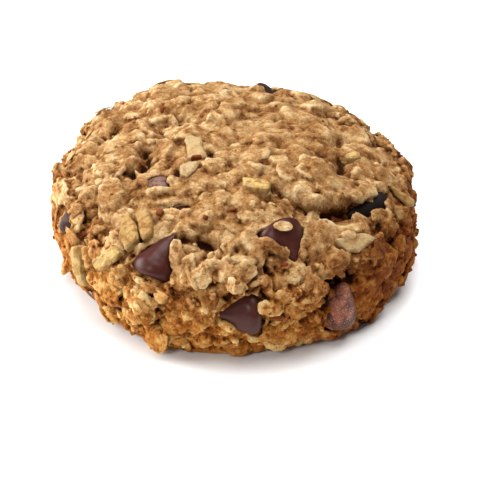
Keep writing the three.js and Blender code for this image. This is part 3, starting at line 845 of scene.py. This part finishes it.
class Value:
    """A shader socket that takes part in Python expressions: each operator adds a Math node."""

    def __init__(self, finish, socket):
        self.finish = finish
        self.socket = socket

    def math(self, operation, *operands):
        """A Math node's value."""
        return self.finish.node("ShaderNodeMath", {"operation": operation}, dict(enumerate(operands)))

    def __add__(self, other):
        return self.math("ADD", self, other)

    def __sub__(self, other):
        return self.math("SUBTRACT", self, other)

    def __rsub__(self, other):
        return self.math("SUBTRACT", other, self)

    def __mul__(self, other):
        return self.math("MULTIPLY", self, other)

    __radd__ = __add__
    __rmul__ = __mul__


class Finish:
    """A new material, and the one place where its nodes are made and linked."""

    def __init__(self, name):
        self.material = bpy.data.materials.new(name)
        self.material.use_nodes = True
        self.tree = self.material.node_tree
        self.shader = self.tree.nodes["Principled BSDF"]

    def node(self, kind, settings, inputs, output=0):
        """A node of a kind, with its settings, and with its sockets set or linked. Gives one output."""
        made = self.tree.nodes.new(kind)
        for name, value in settings.items():
            setattr(made, name, value)
        self.fill(made, inputs)
        return Value(self, made.outputs[output])

    def fill(self, made, inputs):
        """Links a node's sockets to values, or sets them to numbers or colours."""
        for name, value in inputs.items():
            if isinstance(value, Value):
                self.tree.links.new(value.socket, made.inputs[name])
            elif isinstance(value, tuple) and len(value) == 3 and made.inputs[name].type == "RGBA":
                made.inputs[name].default_value = (*value, 1)
            else:
                made.inputs[name].default_value = value

    def finish(self, **inputs):
        """Fills the sockets of the surface, and gives the material."""
        for name, value in inputs.items():
            self.fill(self.shader, {name.replace("_", " ").title().replace("Ior", "IOR"): value})
        return self.material

    def ramp(self, value, stops):
        """A colour that goes from stop to stop as a value goes from 0 to 1."""
        colour = self.node("ShaderNodeValToRGB", {}, {"Fac": value})
        elements = colour.socket.node.color_ramp.elements
        while len(elements) < len(stops):
            elements.new(0.5)
        for element, (position, shade) in zip(elements, stops):
            element.position = position
            element.color = (*shade, 1)
        return colour

    def place(self):
        return self.node("ShaderNodeTexCoord", {}, {}, "Object")

    def attribute(self, name):
        return self.node("ShaderNodeAttribute", {"attribute_name": name}, {}, "Fac")

    def noise(self, size, detail=2, roughness=0.5, distortion=0):
        """Noise from 0 to 1 with features of that size in millimetres."""
        inputs = {"Vector": self.place(), "Scale": 1 / (size * MM), "Detail": detail}
        inputs |= {"Roughness": roughness, "Distortion": distortion}
        return self.node("ShaderNodeTexNoise", {}, inputs)

    def span(self, value, low, high):
        """0 where a value is at most low, 1 where it is at least high."""
        inputs = {"Value": value, "From Min": low, "From Max": high}
        return self.node("ShaderNodeMapRange", {"interpolation_type": "SMOOTHSTEP"}, inputs)

    def line(self, value, source, target):
        """A value taken from one range to another, and held at its ends."""
        inputs = {"Value": value, "From Min": source[0], "From Max": source[1]}
        return self.node("ShaderNodeMapRange", {}, {**inputs, "To Min": target[0], "To Max": target[1]})

    def mix(self, share, first, second, blend="MIX"):
        """A colour that is a share of the way from the first to the second."""
        settings = {"data_type": "RGBA", "blend_type": blend}
        return self.node("ShaderNodeMix", settings, {0: share, 6: first, 7: second}, 2)

    def bump(self, height, distance, strength=1.0):
        inputs = {"Height": height, "Distance": distance * MM, "Strength": strength}
        return self.node("ShaderNodeBump", {}, inputs)


# Colours as red, green and blue light. Dough goes from the near black of the painted shade in its gaps to
# its pale grains.
TOP_TONES = [
    (0.0, (0.03, 0.008, 0.0015)), (0.25, (0.17, 0.066, 0.017)), (0.5, (0.305, 0.158, 0.057)),
    (0.76, (0.48, 0.315, 0.148)), (1.0, (0.63, 0.475, 0.27)),
]
WALL_TONES = [
    (0.0, (0.025, 0.006, 0.001)), (0.25, (0.18, 0.047, 0.005)), (0.5, (0.37, 0.128, 0.02)),
    (0.76, (0.56, 0.28, 0.075)), (1.0, (0.68, 0.46, 0.19)),
]
# Painted shade on the wall's right side: the colour there is multiplied by this brown
PAINTED_SHADE_BROWN = (0.5, 0.325, 0.18)
SKIN_RED = (0.14, 0.027, 0.006)
SKIN_BROWN = (0.16, 0.045, 0.01)
CHOCOLATE = (0.048, 0.011, 0.0078)
CHOCOLATE_PALE = (0.064, 0.019, 0.014)
CHOCOLATE_BLOOM = (0.2, 0.11, 0.085)
CHOCOLATE_PAINTED_SHADE = (0.006, 0.0016, 0.001)
# How far painted shade takes some chips to that, and how much pale bloom some chips have
CHIP_PAINTED_SHADE = {"chip_shaded": 1.0, "chip_rear": 0.6, "chip_left": 0.6}
CHIP_BLOOM = {"chip_top": 0.9, "chip_shaded": 0.15, "chip_left": 0.35}
BLOOM_RED = (0.38, 0.11, 0.05)
BLOOM_PALE = (0.52, 0.28, 0.2)
BLOOM_PAINTED_GLINT = (0.75, 0.5, 0.4)
WALNUT_PALE = (0.485, 0.325, 0.11)
WALNUT_GOLD = (0.23, 0.1, 0.024)
WALNUT_CREAM = (0.375, 0.265, 0.145)
WALNUT_RAMP = [(0.0, WALNUT_CREAM), (0.5, WALNUT_PALE), (1.0, WALNUT_GOLD)]
WALNUT_SKIN = (0.15, 0.05, 0.014)
# How golden each walnut piece is: 0 is cream, a half is pale yellow and 1 is gold
WALNUT_TONES = {
    "walnut_2": 0.72, "walnut_3": 0.75, "walnut_6": 0.2, "walnut_7": 0.1, "walnut_8": 0.2, "walnut_9": 0.8,
    "walnut_10": 0.45, "walnut_11": 0.7, "walnut_13": 0.2, "walnut_14": 0.9,
}
WALNUT_TONE = 0.5
SMEAR_BROWN = (0.3, 0.16, 0.058)
FLOOR_WHITE = (0.9, 0.9, 0.9)


def dough_finish():
    """Baked dough: tan on top, golden on the wall, pale flakes, with painted shade in gaps and painted light
    on edges.
    """
    finish = Finish("baked_dough")
    wall = finish.attribute("wall")
    grain = finish.noise(0.8, 4, 0.7)
    fine = finish.noise(0.4, 3, 0.7)
    # Mottled by noise of four sizes and specked, then paler on grains; painted shade and light follow the
    # relief
    # Partly real grain and partly painted shade: darker where the bump below is lower
    tone = 0.58 + (grain - 0.5) * 0.6 + (fine - 0.5) * 0.4
    tone = tone - finish.span(finish.noise(0.55, 2, 0.5), 0.36, 0.27) * 0.3
    tone = tone + (finish.noise(6, 3, 0.5) - 0.5) * 0.95 + (finish.noise(2.4, 2, 0.5) - 0.5) * 0.75
    tone = tone + (finish.attribute("tint") - 0.5) * 0.75
    # Painted shade in small dips and a little painted light on raised edges
    tone = tone + finish.line(finish.attribute("rise"), (-0.15, 0.1), (-0.26, 0.06))
    # Painted shade in the cracks and pits
    tone = tone - finish.line(finish.attribute("hollow"), (0.35, 2.0), (0, 0.52))
    # Painted shade in the broad dips between plates and painted light on their tops
    tone = tone + finish.line(finish.attribute("broad_rise"), (-0.75, 0.4), (-0.5, 0.16))
    top_colour = finish.ramp(tone, TOP_TONES)
    wall_colour = finish.ramp(tone, WALL_TONES)
    colour = finish.mix(wall, top_colour, wall_colour)
    return finish.finish(
        # Painted shade darkens and browns the wall's right side
        base_color=finish.mix(finish.attribute("brown"), colour, PAINTED_SHADE_BROWN, "MULTIPLY"),
        specular_ior_level=0.06,
        subsurface_weight=0.2,
        subsurface_radius=(1.0, 0.5, 0.25),
        subsurface_scale=1.2 * MM,
        roughness=0.75,
        normal=finish.bump(grain + 0.6 * fine, 0.5, 0.75),
    )


def skin_finish():
    """Papery nut skin, from red to brown."""
    finish = Finish("nut_skin")
    colour = finish.mix(finish.span(finish.noise(0.9, 3), 0.4, 0.65), SKIN_RED, SKIN_BROWN)
    return finish.finish(base_color=colour, specular_ior_level=0.1, roughness=0.6)


def chocolate_finish():
    """Dark satin chocolate, a little dusty, with pale bloom, and painted shade that darkens the chips that
    say so.
    """
    finish = Finish("chocolate")
    dust = finish.noise(0.8, 4, 0.6)
    cloud = finish.noise(3, 3)
    colour = finish.mix(finish.span(dust * cloud, 0.2, 0.45) * 0.6, CHOCOLATE, CHOCOLATE_PALE)
    colour = finish.mix(finish.attribute("bloom") * finish.span(dust, 0.3, 0.6), colour, CHOCOLATE_BLOOM)
    # Painted shade: some chips are darkened towards near black
    dark = finish.attribute("dark")
    colour = finish.mix(dark, colour, CHOCOLATE_PAINTED_SHADE)
    return finish.finish(
        base_color=colour,
        specular_ior_level=0.18,
        roughness=0.25 + 0.16 * dust + 0.4 * dark,
        normal=finish.bump(finish.noise(1.2, 3), 0.12, 0.5),
    )


def bloomed_finish():
    """Chocolate with a pale, grainy, reddish bloom and painted glints."""
    finish = Finish("bloomed_chocolate")
    grain = finish.noise(0.5, 4, 0.7)
    cloud = finish.noise(2.5, 3)
    colour = finish.mix(finish.span(grain, 0.52, 0.7), BLOOM_RED, BLOOM_PALE)
    colour = finish.mix(finish.span(cloud, 0.55, 0.4) * 0.75, colour, CHOCOLATE)
    # Painted glints: tiny pale specks that stand in for sparkling highlights
    colour = finish.mix(finish.span(finish.noise(0.3, 2), 0.6, 0.7) * 0.8, colour, BLOOM_PAINTED_GLINT)
    return finish.finish(
        base_color=colour,
        specular_ior_level=0.35,
        roughness=0.28,
        normal=finish.bump(grain + 0.6 * cloud, 1.1, 1.0),
    )


def walnut_finish():
    """Broken walnut: cream, pale yellow or gold, streaked, with traces of skin and smears of dough."""
    finish = Finish("walnut")
    tone = finish.attribute("tone")
    streak = finish.noise(1.9, 3, 0.55, 0.8)
    colour = finish.ramp(tone, WALNUT_RAMP)
    colour = finish.mix(finish.span(streak, 0.47, 0.61) * (0.4 + 0.6 * tone), colour, WALNUT_GOLD)
    colour = finish.mix(finish.span(streak, 0.47, 0.36) * (0.9 - 0.7 * tone), colour, WALNUT_CREAM)
    colour = finish.mix(finish.span(finish.noise(0.6, 3, 0.7), 0.45, 0.33) * 0.3, colour, WALNUT_SKIN)
    colour = finish.mix(finish.attribute("smear") * 0.8, colour, SMEAR_BROWN)
    return finish.finish(
        base_color=colour,
        specular_ior_level=0.12,
        roughness=0.6,
        normal=finish.bump(finish.noise(0.7, 4, 0.6) + streak, 0.6, 0.8),
    )


def roughened(piece, layers):
    """Makes a piece's surface uneven. Gives its points from before that."""
    points = points_of(piece)
    normals = numbers(piece.data.vertex_normals, "vector", 3).astype(float)
    move_points(piece, points + normals * layered(points, layers)[:, None])
    return points


def make_chip(node, material):
    """A chocolate chip: its solid rounded, with the slight unevenness of a moulded drop."""
    chip = copy_of(node, node.replace("chip", "chocolate_chip"))
    only(chip)
    bpy.ops.object.mode_set(mode="EDIT")
    bpy.ops.mesh.select_all(action="SELECT")
    bpy.ops.mesh.tris_convert_to_quads()
    bpy.ops.object.mode_set(mode="OBJECT")
    applied(chip, "SUBSURF", levels=3, render_levels=3)
    points = roughened(chip, CHIP_LAYERS)
    store(chip, "bloom", np.full(len(points), CHIP_BLOOM.get(node, 0)))
    # How far painted shade darkens this chip
    store(chip, "dark", np.full(len(points), CHIP_PAINTED_SHADE.get(node, 0)))
    chip.data.materials.append(material)
    return shaded_smooth(chip)


def make_walnut(node, tone, crust, material):
    """A walnut piece: its solid with broken, fibrous faces, and dough on it where it meets the crust."""
    piece = copy_of(node, node.replace("walnut", "walnut_piece"))
    corner = math.radians(WALNUT_BEVEL_ANGLE)
    applied(piece, "BEVEL", width=WALNUT_BEVEL * MM, segments=2, limit_method="ANGLE", angle_limit=corner)
    applied(piece, "SUBSURF", subdivision_type="SIMPLE", levels=3, render_levels=3)
    points = roughened(piece, WALNUT_LAYERS)
    store(piece, "tone", np.full(len(points), tone))
    store(piece, "smear", 1 - ease(*SMEAR, clear_of(crust, points) + layered(points, SMEAR_LAYERS)))
    piece.data.materials.append(material)
    return shaded_smooth(piece)


def dress(piece, rise, tint, golden, brown):
    """Keeps the numbers that the dough's finish reads, each of them one for all shapes or one for each."""
    # rise sets the finish's painted light on raised edges; broad_rise and hollow at 0 give these pieces no
    # painted shade
    values = {"rise": rise, "broad_rise": 0.0, "hollow": 0.0, "tint": tint, "wall": golden, "brown": brown}
    count = len(piece.data.vertices)
    for name, value in values.items():
        rows = np.atleast_1d(value)
        store(piece, name, np.repeat(rows, count // len(rows)))


def make_crumbs(dough, insets, marks):
    """Loose angular crumbs that stick to the crust."""
    rng = np.random.default_rng(CRUMB_SEED)
    points = spread_over(dough, CRUMB_COUNT, rng)
    out = outward(points)
    wall = wall_share(out)
    half = between(CRUMB_HALF, rng.random((CRUMB_COUNT, 1)))
    half = half * between(CRUMB_SPREAD, rng.random((CRUMB_COUNT, 3)))
    kept = (points[:, 2] > UNDERSIDE_MARGIN) & (clear_of(insets, points) > CRUMB_CLEAR)
    kept &= rng.random(CRUMB_COUNT) < between(CRUMB_SHARE, wall)
    kept &= hollow_depths(marks, points) < HOLLOW_CLEAR
    base, faces = ball_shape(CRUMB_SPLITS)
    axes = turned(out, 2 * np.pi * rng.random(CRUMB_COUNT), np.pi * rng.random(CRUMB_COUNT))
    local = base[None] * half[:, None, :] * (1 + CRUMB_UNEVEN * swing(rng, CRUMB_COUNT, len(base), 1))
    piece = joined("crumbs", placed_at(points, local, axes)[kept], faces)
    tint = between(CRUMB_TINTS, rng.random(kept.sum()))
    dress(piece, CRUMB_RISE, tint, golden_share(points[kept]), right_shade_share(points[kept]))
    return piece


def thin_flake():
    """A unit flake of few faces: a raised middle, a ring round it, a thin rim and a flat back."""
    angles = 2 * np.pi * np.arange(FLAKE_SIDES) / FLAKE_SIDES
    ring = np.column_stack([np.cos(angles), np.sin(angles), np.zeros(FLAKE_SIDES)])
    width, height = FLAKE_RING
    points = np.concatenate([[[0, 0, 1]], width * ring + [0, 0, height], ring, [[0, 0, -1]]])
    faces = []
    for i in range(FLAKE_SIDES):
        j = (i + 1) % FLAKE_SIDES
        inner, inner_next = 1 + i, 1 + j
        outer, outer_next = inner + FLAKE_SIDES, inner_next + FLAKE_SIDES
        faces += [(0, inner, inner_next), (inner, outer, outer_next), (inner, outer_next, inner_next)]
        faces.append((outer, 2 * FLAKE_SIDES + 1, outer_next))
    return points, np.array(faces)


def lie_of(dough, points):
    """Directions out of the dough's smoothed surface, half turned to those out of its smooth form."""
    places, normals = smoothed(dough, FLAKE_SMOOTHING)
    tree = kdtree.KDTree(len(places))
    for i, place in enumerate(places):
        tree.insert(place, i)
    tree.balance()
    return unit(normals[[tree.find(p)[1] for p in points]] + outward(points))


def make_flakes(dough, insets, marks):
    """Thin oat flakes that lie on the crust."""
    rng = np.random.default_rng(FLAKE_SEED)
    points = spread_over(dough, FLAKE_COUNT, rng)
    wall = wall_share(outward(points))
    half = (1 + FLAKE_SPREAD * swing(rng, FLAKE_COUNT, 3)) * FLAKE_HALF
    kept = (points[:, 2] > 2 * UNDERSIDE_MARGIN) & (clear_of(insets, points) > FLAKE_CLEAR * half[:, 0])
    kept &= rng.random(FLAKE_COUNT) < between(FLAKE_SHARE, wall * (1 - ease(*FLAKE_FADE, points[:, 2])))
    kept &= hollow_depths(marks, points) < HOLLOW_CLEAR
    points, half = points[kept], half[kept]
    normals = lie_of(dough, points)
    count = len(points)
    tilt = np.radians(FLAKE_TILT) * swing(rng, count)
    axes = turned(normals, 2 * np.pi * rng.random(count), tilt)
    base, faces = thin_flake()
    local = base[None] * half[:, None, :]
    local[:, :, :2] *= 1 + FLAKE_UNEVEN * swing(rng, count, len(base), 1)
    local[:, :, 2] += bends(local, rng) + FLAKE_CRINKLE * swing(rng, count, len(base))
    piece = joined("oat_flakes", placed_at(points + FLAKE_LIFT * normals, local, axes), faces)
    tint = between(FLAKE_TINTS, rng.random(count))
    dress(piece, FLAKE_RISE, tint, golden_share(points), right_shade_share(points))
    return piece


def make_dab(view, surface):
    """A dab of dough on the chip at the rim."""
    base, faces = ball_shape(LUMP_SPLITS)
    shape = placed_shape(view, surface, DAB.pixel, DAB.half, DAB.turn, base)
    piece = joined("dough_dab", shape[None], faces)
    applied(piece, "SUBSURF", levels=2, render_levels=2)
    points = points_of(piece)
    move_points(piece, points + wander(points, DAB_CRUMPLE, 5))
    dress(piece, DAB_RISE, DAB_TINT, 0.0, 0.0)
    return shaded_smooth(piece)


def make_skins(view, surface, dough, insets):
    """Thin bits of reddish nut skin on the crust."""
    rng = np.random.default_rng(CRUMB_SEED)
    base, faces = flake_shape()
    shapes = [placed_shape(view, surface, s.pixel, (*s.half, SKIN_THICKNESS), s.turn, base) for s in SKINS]
    shapes = [shape for shape in shapes if shape is not None]
    points = spread_over(dough, 4 * MORE_SKINS, rng)
    kept = (points[:, 2] > MORE_LOWEST) & (points[:, 1] > MORE_BEHIND)
    points = points[kept & (clear_of(insets, points) > MORE_CLEAR)][:MORE_SKINS]
    spin = 2 * np.pi * rng.random(len(points))
    axes = turned(outward(points), spin, MORE_TILT * swing(rng, len(points)))
    for place, own_axes in zip(points, axes):
        long, wide = between(MORE_LONG, rng.random()), between(MORE_WIDE, rng.random())
        shapes.append(place + (base * (long, wide, MORE_THICKNESS)) @ own_axes)
    piece = joined("nut_skins", np.array(shapes), faces)
    points = points_of(piece)
    move_points(piece, points + wander(points, SKIN_CRUMPLE, 5))
    return piece


def make_stage():
    """A white floor, a large soft light above, one from the left and a small weak one in front."""
    bpy.ops.mesh.primitive_plane_add(size=FLOOR_SIDE)
    floor = bpy.context.object
    floor.name = "floor"
    white = Finish("floor")
    floor.data.materials.append(white.finish(base_color=FLOOR_WHITE, roughness=0.9))
    for name, light in LIGHTS.items():
        soft_light(name, *light)
    world = bpy.data.worlds.new("studio")
    bpy.context.scene.world = world
    world.use_nodes = True
    background = world.node_tree.nodes["Background"].inputs
    background["Color"].default_value = (1, 1, 1, 1)
    background["Strength"].default_value = WORLD_STRENGTH
    bpy.context.scene.view_settings.view_transform = "Standard"


def soft_light(name, place, side, power):
    """A square light that points at the cookie."""
    bpy.ops.object.light_add(type="AREA", location=place)
    light = bpy.context.object
    light.name = name
    light.data.size = side
    light.data.energy = power
    light.rotation_euler = (-Vector(place)).to_track_quat("-Z", "Y").to_euler()


view = make_camera()
make_stage()
chip_nodes = [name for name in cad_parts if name.startswith("chip")]
walnut_nodes = [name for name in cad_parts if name.startswith("walnut")]
inset_solids = solids(chip_nodes + walnut_nodes)
insets = surface_of(inset_solids)
dough, marks = make_dough(view, [surface_of(solids(names)) for names in (chip_nodes, walnut_nodes)])
dough.data.materials.clear()
dough.data.materials.append(dough_finish())
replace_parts(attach(dough, "root"), "dough")

whole = surface_of([dough] + inset_solids)
for piece in (make_flakes(dough, insets, marks), make_crumbs(dough, insets, marks), make_dab(view, whole)):
    piece.data.materials.append(dough.data.materials[0])
    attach(piece, "root")
skins = make_skins(view, whole, dough, insets)
skins.data.materials.append(skin_finish())
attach(skins, "root")

chocolate, bloomed = chocolate_finish(), bloomed_finish()
for name in chip_nodes:
    chip = make_chip(name, bloomed if name == "chip_bloomed" else chocolate)
    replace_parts(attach(chip, "root"), name)

walnut = walnut_finish()
crust = surface_of([dough])
for name in walnut_nodes:
    piece = make_walnut(name, WALNUT_TONES.get(name, WALNUT_TONE), crust, walnut)
    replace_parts(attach(piece, "root"), name)
